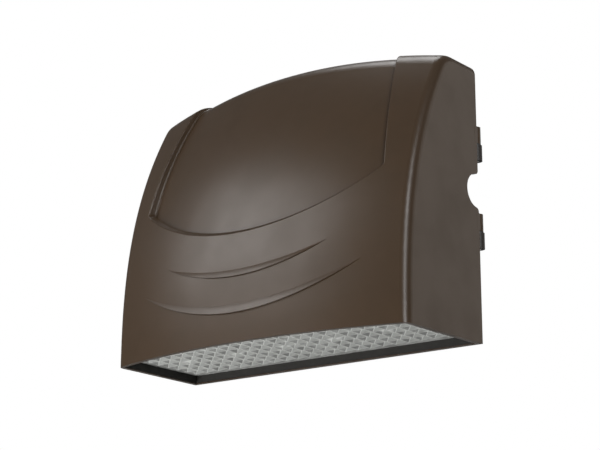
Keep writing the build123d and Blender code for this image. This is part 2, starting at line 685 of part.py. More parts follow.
def reflector_form(shrink, low, high):
    """Solid under the reflector: the ledge's opening below, a rectangle above."""
    with BuildPart() as form:
        with BuildSketch(Plane.XY.offset(level(low))):
            inset = LEDGE_WIDTH - REFLECTOR_SHEET + shrink
            plan_outline(BAY_WALL + inset, 0, bay_rear - inset)
        with BuildSketch(Plane.XY.offset(level(high))):
            with Locations((0, BOARD_Y)):
                Rectangle(2 * (REFLECTOR_TOP_HALF - shrink), REFLECTOR_TOP_DEPTH - 2 * shrink)
        loft(ruled=True)
    return form.part


with BuildPart() as reflector:
    add(reflector_form(0, LEDGE_TOP_HEIGHT, BOARD_HEIGHT))
    with BuildSketch(Plane.XY.offset(level(LEDGE_TOP_HEIGHT))):
        plan_outline(WALL + TRAY_GAP, LEDGE_TOP_HEIGHT, RIM_Y - WALL - TRAY_GAP)
    extrude(amount=REFLECTOR_SHEET)
    add(reflector_form(REFLECTOR_SHEET, LEDGE_TOP_HEIGHT, reflector_top), mode=Mode.SUBTRACT)
    with BuildSketch(Plane.XY.offset(level(LEDGE_TOP_HEIGHT))):
        with Locations(*tray_screw_spots):
            Circle(TRAY_BOSS_RADIUS + TRAY_GAP)
    extrude(amount=TRAY_HEIGHT, mode=Mode.SUBTRACT)
    with BuildSketch(Plane.XY.offset(level(reflector_top))):
        with Locations(*led_spots):
            Rectangle(LED_SIZE + 2 * REFLECTOR_WINDOW, LED_SIZE + 2 * REFLECTOR_WINDOW)
        with Locations(*board_screw_spots):
            Circle(SCREW_HEAD_RADIUS + SCREW_HEAD_ROOM)
        with Locations((LED_LEAD_X, (driver_y + LED_TAIL_BEND + terminal_y - LED_TERMINAL[1]) / 2)):
            Rectangle(
                LED_TERMINAL[0] + 2 * TRAY_GAP,
                driver_y + LED_TAIL_BEND - terminal_y + LED_TERMINAL[1] + 2 * TRAY_GAP,
            )
    extrude(amount=REFLECTOR_SHEET, mode=Mode.SUBTRACT)
save(reflector.part, "reflector")

# ---------------------------------------------------------------- gear plate and what it carries
lead_spot = (LEAD_DROP_X, lead_levels[1])
with BuildPart() as gear_plate:
    with BuildSketch(wall_plane(GEAR_Y)):
        with Locations((0, level((GEAR_FOOT_HEIGHT + GEAR_TOP_HEIGHT) / 2))):
            RectangleRounded(2 * GEAR_HALF, GEAR_TOP_HEIGHT - GEAR_FOOT_HEIGHT, PAN_CORNER)
        with Locations(*gear_boss_spots, *driver_screw_spots):
            Circle(SCREW_RADIUS + FIT, mode=Mode.SUBTRACT)
        with Locations(lead_spot):
            Circle(GROMMET_RADIUS, mode=Mode.SUBTRACT)
    extrude(amount=GEAR_PLATE)
save(gear_plate.part, "gear_plate")


def grommet(plane, spot, radius, bore, sheet, name):
    """Rubber ring that grips a sheet's hole; the plane is the sheet's outer face."""
    lip = radius + GROMMET_LIP
    with BuildPart() as ring:
        with BuildSketch(plane.offset(GROMMET_LIP_THICKNESS)):
            with Locations(spot):
                Circle(lip)
        extrude(amount=-(sheet + 2 * GROMMET_LIP_THICKNESS))
        with BuildSketch(plane):
            with Locations(spot):
                Circle(lip)
                Circle(radius, mode=Mode.SUBTRACT)
        extrude(amount=-sheet, mode=Mode.SUBTRACT)
        with BuildSketch(plane.offset(GROMMET_LIP_THICKNESS)):
            with Locations(spot):
                Circle(bore)
        extrude(amount=-(sheet + 2 * GROMMET_LIP_THICKNESS), mode=Mode.SUBTRACT)
        fillet(ring.edges().filter_by(GeomType.CIRCLE).sort_by(SortBy.RADIUS)[-4:], GROMMET_LIP_THICKNESS / 3)
    save(ring.part, name)


grommet(wall_plane(driver_face), lead_spot, GROMMET_RADIUS, GROMMET_BORE, GEAR_PLATE, "lead_grommet")
grommet(
    Plane.XY.offset(level(TRAY_TOP_HEIGHT)), led_lead_spot, LED_GROMMET_RADIUS, LED_GROMMET_BORE,
    TRAY_THICKNESS, "led_grommet",
)

screws(
    Plane((0, GEAR_Y, 0), (1, 0, 0), (0, 1, 0)),
    [(x, -z) for x, z in gear_boss_spots],
    GEAR_PLATE + SCREW_DEPTH - 1,
    "gear_screws",
)

driver_centre = (0, level(DRIVER_FOOT_HEIGHT + DRIVER_WIDTH / 2))
with BuildPart() as driver:
    with BuildSketch(wall_plane(driver_face)):
        with Locations(driver_centre):
            RectangleRounded(DRIVER_LENGTH, DRIVER_WIDTH, CASE_CORNER)
    extrude(amount=DRIVER_THICKNESS)
    fillet(driver.faces().sort_by(Axis.Y)[0].edges(), CASE_ROUND)
    with BuildSketch(wall_plane(driver_face)):
        with Locations(driver_centre):
            RectangleRounded(DRIVER_LENGTH + 2 * DRIVER_EAR, DRIVER_WIDTH, CASE_CORNER)
        with Locations(*driver_screw_spots):
            Circle(SCREW_RADIUS + FIT, mode=Mode.SUBTRACT)
    extrude(amount=DRIVER_EAR_THICKNESS)
save(driver.part, "driver")
screws(
    wall_plane(driver_face - DRIVER_EAR_THICKNESS), driver_screw_spots,
    DRIVER_EAR_THICKNESS + GEAR_PLATE, "driver_screws",
)

with BuildPart() as surge_protector:
    with BuildSketch(wall_plane(driver_face)):
        with Locations((SURGE_CENTRE[0], level(SURGE_CENTRE[1]))):
            RectangleRounded(SURGE_SIZE[0], SURGE_SIZE[2], CASE_CORNER)
    extrude(amount=SURGE_SIZE[1])
    fillet(surge_protector.faces().sort_by(Axis.Y)[0].edges(), CASE_ROUND)
save(surge_protector.part, "surge_protector")


def lead(points, radii, radius, name):
    """Insulated wire along straight runs joined by arcs."""
    with BuildPart() as wire:
        with BuildLine():
            path = FilletPolyline(*points, radius=radii)
        with BuildSketch(Plane(path @ 0, z_dir=path % 0)):
            Circle(radius)
        sweep(path=path)
    save(wire.part, name)


splice_front = GEAR_Y + SPLICE_REACH
for name, z in zip(("ground_lead", "neutral_lead", "line_lead"), lead_levels):
    start = (-DRIVER_LENGTH / 2, driver_y, z)
    lead([start, (LEAD_DROP_X, driver_y, z), (LEAD_DROP_X, splice_front, z)], [LEAD_BEND], LEAD_RADIUS, name)

with BuildPart() as splices:
    with BuildSketch(Plane((0, splice_front, 0), (1, 0, 0), (0, 1, 0))):
        with Locations(*[(LEAD_DROP_X, -z) for z in lead_levels]):
            RectangleRounded(SPLICE_SIZE[0], SPLICE_SIZE[2], 1)
    extrude(amount=SPLICE_SIZE[1])
save(splices.part, "splices")

tail = level(BOARD_HEIGHT - LED_TERMINAL[2] / 2)
for side, name, height in zip((-1, 1), ("led_lead_negative", "led_lead_positive"), LED_LEAD_HEIGHTS):
    x = LED_LEAD_X + side * LED_LEAD_PITCH / 2
    lead(
        [
            (DRIVER_LENGTH / 2, driver_y, level(height)),
            (x, driver_y, level(height)),
            (x, driver_y, tail),
            (x, terminal_y, tail),
        ],
        [LED_LEAD_BEND, LED_TAIL_BEND],
        LED_LEAD_RADIUS,
        name,
    )

# ---------------------------------------------------------------- back pan
pan_middle = (0, level((PAN_FOOT_HEIGHT + PAN_TOP_HEIGHT) / 2))
pan_width = 2 * PAN_HALF
pan_rise = PAN_TOP_HEIGHT - PAN_FOOT_HEIGHT


def pan_outline(inset):
    """The pan's rounded outline, drawn in by inset."""
    with Locations(pan_middle):
        RectangleRounded(pan_width - 2 * inset, pan_rise - 2 * inset, PAN_CORNER - inset)


corner_hole_spots = [
    (side * CORNER_HOLE_SPAN / 2, rise * CORNER_HOLE_RISE / 2) for side in (-1, 1) for rise in (-1, 1)
]
box_hole_spots = [(side * BOX_HOLE_SPAN / 2, 0) for side in (-1, 1)]
ground_spot = (GROUND_SPOT[0], level(GROUND_SPOT[1]))
with BuildPart() as back_pan:
    with BuildSketch(wall_plane(PAN_FLOOR_Y)):
        pan_outline(0)
    extrude(amount=PAN_FLOOR_Y - PAN_RIM_Y)
    with BuildSketch(wall_plane(PAN_FLOOR_Y - PAN_WALL)):
        pan_outline(PAN_WALL)
    extrude(amount=PAN_FLOOR_Y - PAN_RIM_Y - 2 * PAN_WALL, mode=Mode.SUBTRACT)
    with BuildSketch(wall_plane(PAN_FLOOR_Y - PAN_WALL)):
        pan_outline(PAN_LIP)
    extrude(amount=PAN_FLOOR_Y - PAN_RIM_Y, mode=Mode.SUBTRACT)
    # conduit hubs in both sides
    for side in (-1, 1):
        with BuildSketch(Plane.YZ.offset(side * PAN_HALF)):
            with Locations((ENTRY_Y, 0)):
                Circle(HUB_RADIUS)
        extrude(amount=side * HUB_LENGTH)
    # boss for the ground screw
    with BuildSketch(wall_plane(PAN_FLOOR_Y - PAN_WALL)):
        with Locations(ground_spot):
            Circle(GEAR_BOSS_RADIUS)
    extrude(amount=GROUND_BOSS)
    # hinge arms on the right
    for z in knuckle_levels:
        with BuildSketch(Plane.XY.offset(z)):
            with Locations(hinge_axis):
                Circle(PAN_KNUCKLE_RADIUS)
            with Locations(((PAN_HALF - PAN_WALL + HINGE_X) / 2, hinge_axis[1])):
                Rectangle(HINGE_X - PAN_HALF + PAN_WALL, ARM_THICKNESS)
        extrude(amount=KNUCKLE_LENGTH)
        with BuildSketch(Plane.XY.offset(z)):
            with Locations(hinge_axis):
                Circle(PIN_RADIUS)
        extrude(amount=KNUCKLE_LENGTH, mode=Mode.SUBTRACT)
    # slotted keeper lugs on the left, open towards the room
    for y, z in closer_spots:
        with BuildSketch(wall_plane(y + LUG_REAR)):
            with Locations(((lug_outer - PAN_HALF + PAN_WALL) / 2, z)):
                Rectangle(-PAN_HALF + PAN_WALL - lug_outer, 2 * LUG_HALF)
            with Locations(((lug_inner - PAN_HALF) / 2, z)):
                Rectangle(-PAN_HALF - lug_inner, 2 * (LUG_HALF - LUG_THICKNESS), mode=Mode.SUBTRACT)
        extrude(amount=LUG_REAR + LUG_FRONT)
        with BuildSketch(Plane.YZ.offset(lug_outer)):
            with Locations((y, z)):
                Circle(CLOSER_RADIUS + CLOSER_ROOM)
            with Locations((y - LUG_FRONT, z)):
                Rectangle(2 * LUG_FRONT, 2 * (CLOSER_RADIUS + CLOSER_ROOM))
        extrude(amount=LUG_THICKNESS, mode=Mode.SUBTRACT)
    # holes: surface screws, outlet box screws, supply wires, ground screw, conduit
    with BuildSketch(wall_plane(PAN_FLOOR_Y)):
        with Locations(*corner_hole_spots):
            Circle(CORNER_HOLE_RADIUS)
        with Locations(*box_hole_spots):
            Circle(BOX_HOLE_RADIUS)
        with Locations((0, 0)):
            Circle(WIRE_HOLE_RADIUS)
    extrude(amount=PAN_WALL, mode=Mode.SUBTRACT)
    with BuildSketch(wall_plane(PAN_FLOOR_Y - PAN_WALL - GROUND_BOSS)):
        with Locations(ground_spot):
            Circle(SCREW_RADIUS)
    extrude(amount=-GROUND_BOSS, mode=Mode.SUBTRACT)
    for side in (-1, 1):
        with BuildSketch(Plane.YZ.offset(side * (PAN_HALF + HUB_LENGTH))):
            with Locations((ENTRY_Y, 0)):
                Circle(CONDUIT_RADIUS)
        extrude(amount=-side * (PAN_WALL + HUB_LENGTH), mode=Mode.SUBTRACT)
        with BuildSketch(Plane.YZ.offset(side * (PAN_HALF - PAN_WALL))):
            with Locations((ENTRY_Y, 0)):
                Circle(CONDUIT_RADIUS + HUB_RUN_ROOM)
        extrude(amount=-side * HUB_RUN, mode=Mode.SUBTRACT)
save(back_pan.part, "back_pan")

screws(wall_plane(PAN_FLOOR_Y - PAN_WALL - GROUND_BOSS), [ground_spot], GROUND_BOSS, "ground_screw")

with BuildPart() as wall_gasket:
    with BuildSketch(wall_plane(0)):
        pan_outline(0)
        with Locations(pan_middle):
            Rectangle(pan_width - 2 * FOAM_WIDTH, pan_rise - 2 * FOAM_WIDTH, mode=Mode.SUBTRACT)
    extrude(amount=FOAM_THICKNESS)
save(wall_gasket.part, "wall_gasket")

with BuildPart() as door_seal:
    with BuildSketch(wall_plane(PAN_RIM_Y)):
        pan_outline(0)
        with Locations(pan_middle):
            RectangleRounded(
                pan_width - 2 * DOOR_SEAL_WIDTH, pan_rise - 2 * DOOR_SEAL_WIDTH,
                PAN_CORNER - DOOR_SEAL_WIDTH, mode=Mode.SUBTRACT,
            )
    extrude(amount=DOOR_SEAL_THICKNESS)
save(door_seal.part, "door_seal")

with BuildPart() as conduit_plug:
    with BuildSketch(Plane.YZ.offset(-PAN_HALF - HUB_LENGTH)):
        with Locations((ENTRY_Y, 0)):
            Circle(CONDUIT_RADIUS)
    extrude(amount=PLUG_THICKNESS)
    with BuildSketch(Plane.YZ.offset(-PAN_HALF - HUB_LENGTH)):
        with Locations((ENTRY_Y, 0)):
            RegularPolygon(PLUG_SOCKET, 6)
    extrude(amount=PLUG_SOCKET_DEPTH, mode=Mode.SUBTRACT)
save(conduit_plug.part, "conduit_plug")

# ---------------------------------------------------------------- hinge pieces
with BuildPart() as hinge_pins:
    for z in knuckle_levels:
        with BuildSketch(Plane.XY.offset(z)):
            with Locations(hinge_axis):
                Circle(PIN_RADIUS)
        extrude(amount=hood_knuckle_start + HOOD_KNUCKLE_LENGTH - PIN_SHORT)
save(hinge_pins.part, "hinge_pins")

with BuildPart() as hinge_washers:
    for z in knuckle_levels:
        with BuildSketch(Plane.XY.offset(z + KNUCKLE_LENGTH)):
            with Locations(hinge_axis):
                Circle(HOOD_KNUCKLE_RADIUS)
                Circle(PIN_RADIUS + FIT, mode=Mode.SUBTRACT)
        extrude(amount=HINGE_WASHER)
save(hinge_washers.part, "hinge_washers")

# ---------------------------------------------------------------- closing screws
closer_plane = Plane((closer_seat - CLOSER_WASHER, 0, 0), (0, -1, 0), (-1, 0, 0))
closer_marks = [(-y, z) for y, z in closer_spots]
screws(
    closer_plane, closer_marks, CLOSER_LENGTH, "closing_screws",
    head_radius=CLOSER_HEAD_RADIUS, head=CLOSER_HEAD, shank=CLOSER_RADIUS,
)
with BuildPart() as closing_washers:
    with BuildSketch(closer_plane):
        with Locations(*closer_marks):
            Circle(CLOSER_HEAD_RADIUS)
            Circle(CLOSER_RADIUS + FIT, mode=Mode.SUBTRACT)
    extrude(amount=-CLOSER_WASHER)
save(closing_washers.part, "closing_washers")

with BuildPart() as closing_nuts:
    with BuildSketch(Plane.YZ.offset(lug_inner + NUT_GAP)):
        with Locations(*closer_spots):
            RectangleRounded(NUT_SIZE, NUT_SIZE, 1)
            Circle(CLOSER_RADIUS, mode=Mode.SUBTRACT)
    extrude(amount=NUT_THICKNESS)
save(closing_nuts.part, "closing_nuts")
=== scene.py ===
# %% [markdown]
# # A wall pack light, dressed for its portrait
#
# The light is a curved die-cast hood that hangs on a shallow pan on the wall. Its
# construction arrives ready made: every casting, seal, screw and wire is already in place at
# its real size. What is left for this lesson is the finish of each surface, the small pieces
# that a maker would add on the bench, and a quiet studio to look at the result in.
#
# Lengths in this lesson are metres. +Z points up the wall, the wall is the plane Y = 0 and the
# light stands out towards -Y.

# %% Load the assembled light
import json
from math import radians

import bpy
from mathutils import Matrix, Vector


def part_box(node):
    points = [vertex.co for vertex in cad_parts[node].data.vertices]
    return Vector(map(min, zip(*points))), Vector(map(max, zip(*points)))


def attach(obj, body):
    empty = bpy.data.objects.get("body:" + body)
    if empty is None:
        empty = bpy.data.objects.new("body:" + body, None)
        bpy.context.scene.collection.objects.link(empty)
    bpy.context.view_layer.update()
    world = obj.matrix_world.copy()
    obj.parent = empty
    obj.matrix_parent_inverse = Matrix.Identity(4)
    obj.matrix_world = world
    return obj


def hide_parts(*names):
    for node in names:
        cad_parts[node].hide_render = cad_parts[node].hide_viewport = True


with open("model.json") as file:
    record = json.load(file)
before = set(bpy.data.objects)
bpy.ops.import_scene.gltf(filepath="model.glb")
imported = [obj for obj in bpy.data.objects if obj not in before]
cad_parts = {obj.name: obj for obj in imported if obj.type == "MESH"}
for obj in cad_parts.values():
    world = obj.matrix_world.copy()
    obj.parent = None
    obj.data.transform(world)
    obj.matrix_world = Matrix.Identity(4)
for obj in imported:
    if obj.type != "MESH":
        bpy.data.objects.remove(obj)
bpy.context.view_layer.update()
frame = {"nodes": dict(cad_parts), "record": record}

MM = 0.001                  # a millimetre, in metres
nodes = frame["nodes"]
print("pieces that came ready made:", len(nodes))

# %% [markdown]
# ## The camera
#
# The portrait is taken from below and from the right with a long lens, so that the hood, the
# lens under it and the hinge side all show. A camera on a stand would be aimed by eye; here
# its place and its aim are numbers, so that the picture comes out the same each time.

# %% Set up the camera
CAMERA_PLACE = Vector((0.82565, -1.13442, -0.39476))
CAMERA_AIM = Vector((-0.58438, 0.76491, 0.27095))
FOCAL_LENGTH_MM = 102.35
SENSOR_MM = 36.0
NEAREST_SEEN = 10.0 * MM

camera_data = bpy.data.cameras.new("portrait_camera")
camera_data.lens = FOCAL_LENGTH_MM
camera_data.sensor_width = SENSOR_MM
camera_data.clip_start = NEAREST_SEEN
camera = bpy.data.objects.new("portrait_camera", camera_data)
camera.location = CAMERA_PLACE
camera.rotation_euler = CAMERA_AIM.to_track_quat("-Z", "Y").to_euler()
bpy.context.scene.collection.objects.link(camera)
bpy.context.scene.camera = camera
print("camera distance from the wall face:", round(-CAMERA_PLACE.y, 3))

# %% [markdown]
# ## Shader maths in plain sums
#
# A finish is a small sum: a base colour, a little more of another colour where a noise is
# high, a roughness that differs from patch to patch. Wiring every sum by hand in the node
# editor is slow to read, so the small classes below let a finish be written as an expression.
# A `Value` wraps one socket and turns +, - and * into Math nodes. A `Recipe` is one node tree
# and adds any other node, and a `Finish` is the recipe of one material.

# %% The helper classes
NOISE_ROUGHNESS = 0.55      # how strongly a noise's finer lumps show


class Value:
    """One output socket of a node, ready for sums."""

    def __init__(self, recipe, socket):
        self.recipe = recipe
        self.socket = socket

    def __add__(self, other):
        return self.recipe.maths("ADD", self, other)

    def __radd__(self, other):
        return self.recipe.maths("ADD", other, self)

    def __sub__(self, other):
        return self.recipe.maths("SUBTRACT", self, other)

    def __rsub__(self, other):
        return self.recipe.maths("SUBTRACT", other, self)

    def __mul__(self, other):
        return self.recipe.maths("MULTIPLY", self, other)

    def __rmul__(self, other):
        return self.recipe.maths("MULTIPLY", other, self)


class Recipe:
    """One node tree and the nodes that are added to it."""

    def __init__(self, tree):
        self.tree = tree

    def add(self, kind, settings=None, inputs=None, output=0):
        """Add a node, set it up, feed it, and hand back one of its outputs."""
        node = self.tree.nodes.new(kind)
        for key, setting in (settings or {}).items():
            setattr(node, key, setting)
        for key, value in (inputs or {}).items():
            self.feed(node.inputs[key], value)
        return Value(self, node.outputs[output])

    def maths(self, operation, first, second=0.0):
        """Any operation of the Math node."""
        return self.add("ShaderNodeMath", {"operation": operation}, {0: first, 1: second})

    def feed(self, socket, value):
        """Give a socket a link or a constant."""
        if isinstance(value, Value):
            self.tree.links.new(value.socket, socket)
        elif isinstance(value, tuple) and len(value) == 3 and socket.type == "RGBA":
            socket.default_value = (*value, 1.0)
        else:
            socket.default_value = value


class Finish(Recipe):
    """One material: a Principled shader and the nodes that feed it."""

    def __init__(self, name):
        self.material = bpy.data.materials.new(name)
        self.material.use_nodes = True
        super().__init__(self.material.node_tree)
        self.shader = self.tree.nodes["Principled BSDF"]
        self.place = self.add("ShaderNodeTexCoord", output="Object")

    def noise(self, size, detail, stretch=None):
        """Soft noise from 0 to 1 whose lumps are about size metres across."""
        place = self.place
        if stretch:
            place = self.add("ShaderNodeVectorMath", {"operation": "MULTIPLY"}, {0: place, 1: stretch})
        return self.add(
            "ShaderNodeTexNoise",
            None,
            {"Vector": place, "Scale": 1.0 / size, "Detail": detail, "Roughness": NOISE_ROUGHNESS},
        )

    def span(self, value, low, high, to_low=0.0, to_high=1.0):
        """Spread the range low..high of a value over to_low..to_high, with soft ends."""
        return self.add(
            "ShaderNodeMapRange",
            {"interpolation_type": "SMOOTHSTEP", "clamp": True},
            {0: value, 1: low, 2: high, 3: to_low, 4: to_high},
        )

    def blend(self, share, first, second):
        """Mix two colours, through the node's colour sockets 6, 7 and 2."""
        return self.add(
            "ShaderNodeMix", {"data_type": "RGBA"}, {0: share, 6: first, 7: second}, output=2
        )

    def bump(self, height, depth):
        """A normal from a height between 0 and 1, whose full height is depth metres."""
        return self.add("ShaderNodeBump", None, {"Distance": depth, "Height": height})

    def axis(self, vector, letter):
        """One part of a vector, by the letter of its axis."""
        return self.add("ShaderNodeSeparateXYZ", None, {0: vector}, output=letter)

    def put(self, **sockets):
        """Feed the shader. Names are socket names with _ for a space."""
        for key, value in sockets.items():
            self.feed(self.shader.inputs[key.replace("_", " ")], value)
        return self.material


print("helpers ready")

# %% [markdown]
# ## The powder coats
#
# Hood castings of this kind are sprayed with dry powder and baked. The coat is a satin brown
# that is almost black in the shade and goes grey-brown where it mirrors a bright lamp. It
# could be painted as one flat colour, but a real coat is never that even: it has an orange
# peel of lumps a millimetre or two across, finer grain on top, and patches that are a trace
# deeper and duller. All three are made here from noise in the object's own coordinates. The
# pan on the wall gets the same recipe in a duller near-black.

# %% Bronze and black coat
PEEL_DEPTH = 0.02 * MM
PEEL_SHARE = 0.7            # of the height; the rest is grain


def powder_coat(name, colour, deep, roughness):
    """Baked powder: a colour, a deeper tone in patches, orange peel and fine grain."""
    finish = Finish(name)
    patches = finish.noise(35.0 * MM, detail=4.0)
    peel = finish.noise(2.2 * MM, detail=2.0)
    grain = finish.noise(0.5 * MM, detail=2.0)
    tone = finish.blend(finish.span(patches, 0.35, 0.7), colour, deep)
    surface = peel * PEEL_SHARE + grain * (1.0 - PEEL_SHARE)
    return finish.put(
        Base_Color=tone,
        Roughness=finish.span(patches, 0.3, 0.75, roughness - 0.03, roughness + 0.04),
        Normal=finish.bump(surface, PEEL_DEPTH),
    )


BRONZE = (0.062, 0.038, 0.021)
BRONZE_DEEP = (0.054, 0.032, 0.016)
BRONZE_ROUGHNESS = 0.33
BLACK = (0.026, 0.022, 0.019)
BLACK_DEEP = (0.020, 0.017, 0.015)
BLACK_ROUGHNESS = 0.5
bronze_coat = powder_coat("bronze_powder_coat", BRONZE, BRONZE_DEEP, BRONZE_ROUGHNESS)
black_coat = powder_coat("black_powder_coat", BLACK, BLACK_DEEP, BLACK_ROUGHNESS)
print("coats:", bronze_coat.name, black_coat.name)

# %% [markdown]
# ## The clear lens
#
# The lens is moulded in clear polycarbonate, and its underside is a field of small pyramids.
# Each slope of a pyramid bends the view to another part of the white chamber above, so from
# below one slope of each pyramid looks pale and the next one dark. The edges where slopes
# meet gather light and show as bright lines, the pyramids under a light source catch a
# glint, and the flat rim around the field looks plain. A full glass shader would hide the
# chamber from every lamp and leave it black. So the lens is a glossy skin that lets part of
# the light straight through, and this light and shade is painted into its colour: painted
# shade that follows the slope of each facet, which it reads from the surface's own normal,
# painted highlights along the grid of the pyramids, and painted glints under the light sources.

# %% Lens finish
PYRAMID_PITCH = 12.25 * MM
PYRAMID_FIELD_MARGIN = 9.0 * MM     # flat rim along the lens's wall side
# Width of the painted highlight lines along the pyramid ridges and valleys
RIDGE_HIGHLIGHT_WIDTH = 1.1 * MM
# Reach of each painted glint around a light source
PAINTED_GLINT_REACH = 11.0 * MM
FLAT_LIMIT = 0.05           # facets slope more than this, the rim less
LENS_TINT = (0.97, 0.99, 0.95)
LENS_THROUGH = 0.3          # the share of light that goes straight through
LENS_ROUGHNESS = 0.1
POLYCARBONATE_IOR = 1.58
EDGE_ALPHA = 0.3            # how much fuller the plastic looks at a grazing angle
# Tones of the lens colour, which carries the painted shade, highlights and glints
MIDDLE_TONE = 0.6
DARKEST_TONE = 0.1
BRIGHTEST_TONE = 0.95
# Painted shade by facet slope: facets that look right and towards the wall are painted lighter, the
# others darker
RIGHT_FACET_SHADE_GAIN = 0.6
WALL_FACET_SHADE_GAIN = 0.9
UNEVEN_GAIN = 0.7
# Strength of the painted highlight lines
RIDGE_HIGHLIGHT_GAIN = 0.9
# Strength of the painted glints
PAINTED_GLINT_GAIN = 0.7
# The darkest painted shade on the lens, as a share of its tint
PAINTED_SHADE_SHARE = 0.24          # of the tint, where the tone is darkest
lens_wall_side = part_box("lens")[1][1]

LED_PLACES = 5
led_low, led_high = (Vector(corner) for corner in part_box("leds"))
led_middle = (led_low + led_high) / 2
led_side = led_high.y - led_low.y
led_step = (led_high.x - led_low.x - led_side) / (LED_PLACES - 1)


def dimmed(colour, share):
    """A share of a colour."""
    return tuple(share * part for part in colour)


def clear_plastic(name, tint, through, roughness):
    """Pale plastic with painted facet shade, and painted highlights along its pyramid grid."""
    finish = Finish(name)
    haze = finish.noise(4.0 * MM, detail=3.0)
    cloud = finish.noise(20.0 * MM, detail=2.0)
    facing = finish.add("ShaderNodeLayerWeight", None, {"Blend": 0.35}, output="Facing")
    normal = finish.add("ShaderNodeTexCoord", output="Normal")
    to_right = finish.axis(normal, "X")
    to_wall = finish.axis(normal, "Y")
    slope = finish.maths("ABSOLUTE", to_right) + finish.maths("ABSOLUTE", to_wall)
    on_facet = finish.maths("GREATER_THAN", slope, FLAT_LIMIT)

    # Painted highlights, as bright lines: how far a point is from the nearest valley or ridge
    across_light = finish.axis(finish.place, "X")
    out_of_wall = finish.axis(finish.place, "Y")
    from_field_edge = out_of_wall - (lens_wall_side - PYRAMID_FIELD_MARGIN)
    off_column = finish.maths("PINGPONG", across_light, PYRAMID_PITCH / 2)
    off_row = finish.maths("PINGPONG", from_field_edge, PYRAMID_PITCH / 2)
    off_ridge = finish.maths("ABSOLUTE", off_column - off_row)
    off_line = finish.maths("MINIMUM", off_ridge, finish.maths("MINIMUM", off_column, off_row))
    line = (1.0 - finish.span(off_line, 0.0, RIDGE_HIGHLIGHT_WIDTH)) * on_facet

    # Painted glints: how far it is from the nearest light source above
    off_source = finish.maths("PINGPONG", across_light, led_step / 2)
    off_sources = finish.maths("ABSOLUTE", out_of_wall - led_middle.y)
    glint = (1.0 - finish.span(off_source + off_sources, 0.0, PAINTED_GLINT_REACH)) * on_facet

    uneven = (haze - 0.5) * UNEVEN_GAIN + (cloud - 0.5) * UNEVEN_GAIN
    # Painted light and shade from the direction each facet faces
    painted_facet_shade = to_right * RIGHT_FACET_SHADE_GAIN + to_wall * WALL_FACET_SHADE_GAIN
    bright = MIDDLE_TONE + painted_facet_shade + uneven + line * RIDGE_HIGHLIGHT_GAIN + glint * PAINTED_GLINT_GAIN
    # The painted shade, highlights and glints make up the lens's base colour
    tone = finish.span(bright, DARKEST_TONE, BRIGHTEST_TONE)
    return finish.put(
        Base_Color=finish.blend(tone, dimmed(tint, PAINTED_SHADE_SHARE), tint),
        Roughness=finish.span(haze, 0.3, 0.7, roughness, roughness + 0.05),
        Alpha=(1.0 - through) + facing * EDGE_ALPHA,
        IOR=POLYCARBONATE_IOR,
    )


clear_lens = clear_plastic("clear_polycarbonate", LENS_TINT, LENS_THROUGH, LENS_ROUGHNESS)
print("lens finish:", clear_lens.name)

# %% [markdown]
# ## Everyday finishes
#
# The rest of the light is rubber, sheet metal, steel screws and plastic. Each gets its own
# short recipe: rubber is dull and slightly mottled, rolled sheet has long faint streaks,
# screws have a grain without a direction, and moulded plastic has a fine one.

# %% Rubber, metal and plastic
def rubber(name, colour, roughness):
    """Dull and slightly mottled."""
    finish = Finish(name)
    mottle = finish.noise(6.0 * MM, detail=4.0)
    grain = finish.noise(0.4 * MM, detail=2.0)
    darker = dimmed(colour, 0.75)
    return finish.put(
        Base_Color=finish.blend(mottle, colour, darker),
        Roughness=finish.span(mottle, 0.3, 0.7, roughness - 0.06, roughness + 0.06),
        Normal=finish.bump(grain, 0.03 * MM),
    )


def metal(name, colour, roughness, stretch=None):
    """Bare metal. A stretch draws its grain out along the axis where it is smallest."""
    finish = Finish(name)
    streaks = finish.noise(2.0 * MM, detail=3.0, stretch=stretch)
    cloud = finish.noise(30.0 * MM, detail=4.0)
    darker = dimmed(colour, 0.8)
    return finish.put(
        Base_Color=finish.blend(finish.span(cloud, 0.3, 0.75), colour, darker),
        Metallic=1.0,
        Roughness=finish.span(streaks, 0.25, 0.75, roughness - 0.07, roughness + 0.1),
        Normal=finish.bump(streaks, 0.01 * MM),
    )


def plastic(name, colour, roughness=0.4):
    """Nearly even, with a fine grain."""
    finish = Finish(name)
    grain = finish.noise(0.6 * MM, detail=2.0)
    tone = finish.noise(20.0 * MM, detail=3.0)
    darker = dimmed(colour, 0.86)
    return finish.put(
        Base_Color=finish.blend(finish.span(tone, 0.3, 0.75), colour, darker),
        Roughness=finish.span(tone, 0.25, 0.75, roughness - 0.05, roughness + 0.08),
        Normal=finish.bump(grain, 0.01 * MM),
    )


print("recipes ready")

# %% [markdown]
# ## Giving the finishes out
#
# The record of the light gives each piece a slot, which is the name of what it is made of. So
# one finish for each slot is enough, and pieces of the same stuff look alike.

